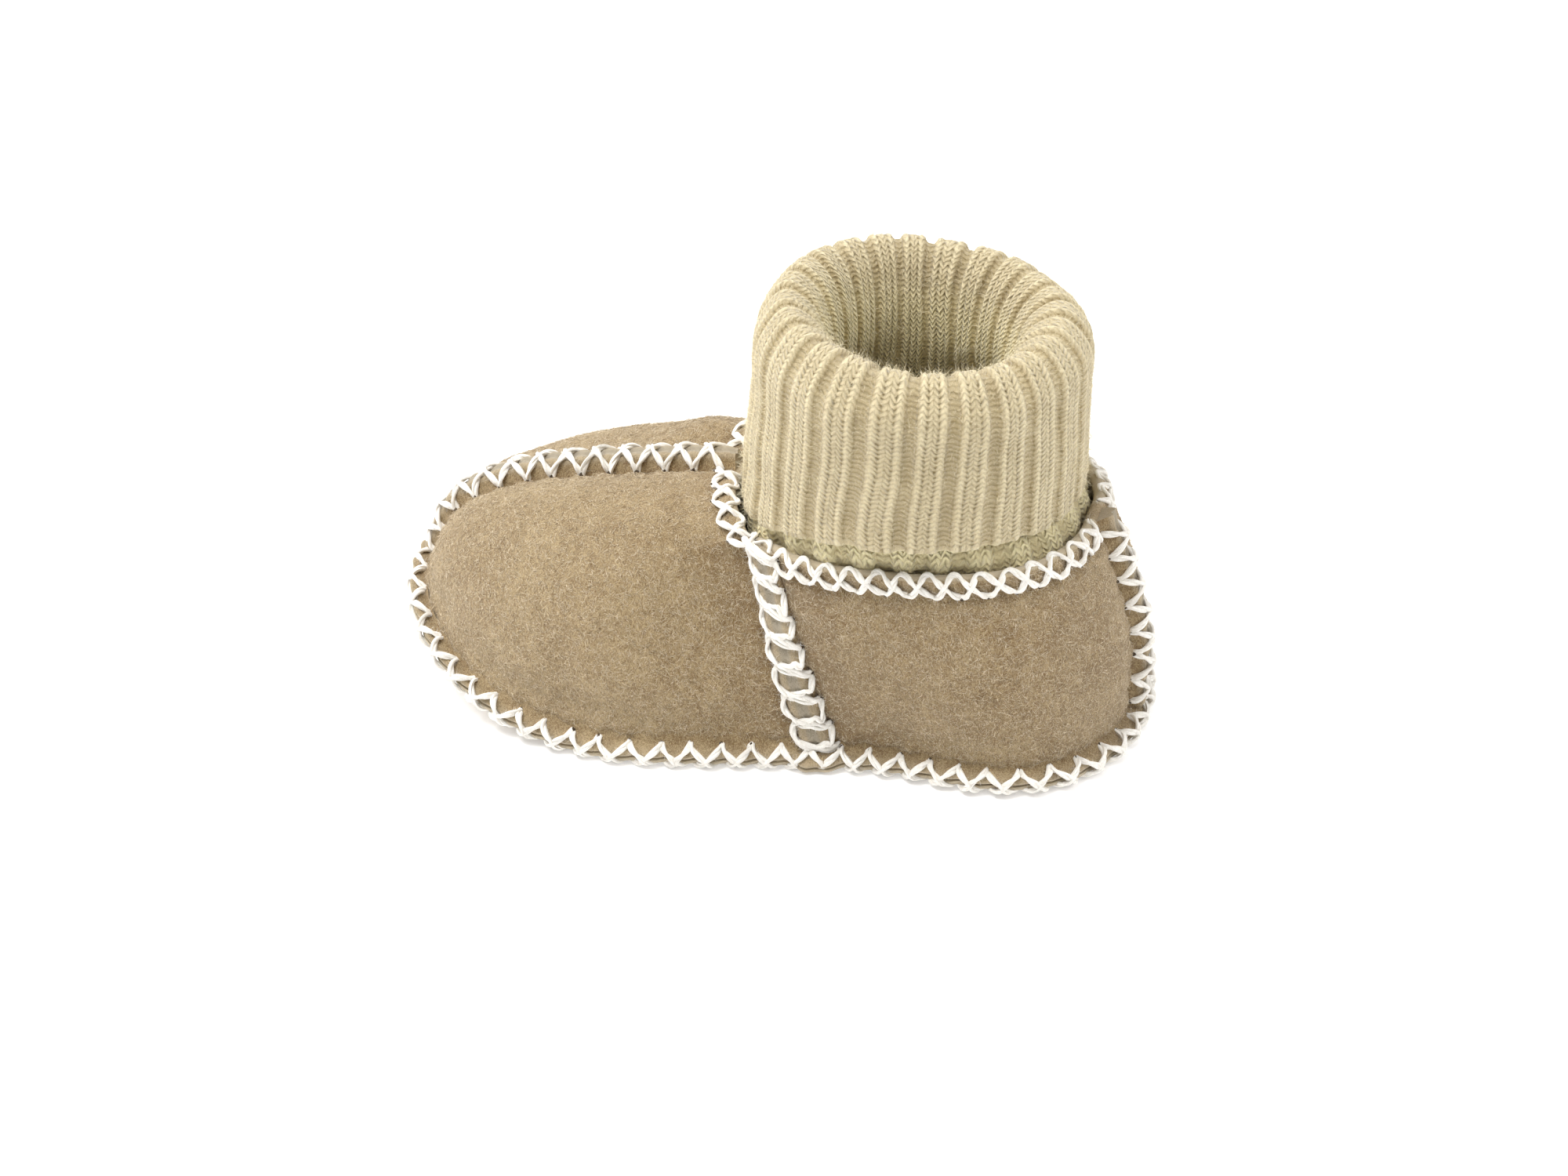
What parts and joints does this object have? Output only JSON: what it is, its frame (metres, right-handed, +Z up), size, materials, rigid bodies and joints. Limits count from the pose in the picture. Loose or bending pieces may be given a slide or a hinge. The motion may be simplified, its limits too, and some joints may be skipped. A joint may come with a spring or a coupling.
{
  "type": "sheepskin baby bootie",
  "caption": "Soft hand-sewn suede bootie for a baby, with raised stitched seams, a fleece footbed and a ribbed knitted cuff turned down at the ankle.",
  "frame": {"origin": "on the floor, under the middle of the bootie's box", "axes": "+X to the toe, +Y to the bootie's left side, +Z up"},
  "size_m": [0.1264, 0.0654, 0.0785],
  "materials": {
    "suede": "napped sheepskin suede",
    "sole_suede": "napped sheepskin suede",
    "fleece": "sheared wool pile",
    "rib_knit": "fluffy wool rib knit",
    "yarn": "two-strand sewing yarn"
  },
  "bodies": {
    "root": {"upper": "suede", "sole": "sole_suede", "insole": "fleece", "knit_cuff": "rib_knit"}
  },
  "joints": []
}
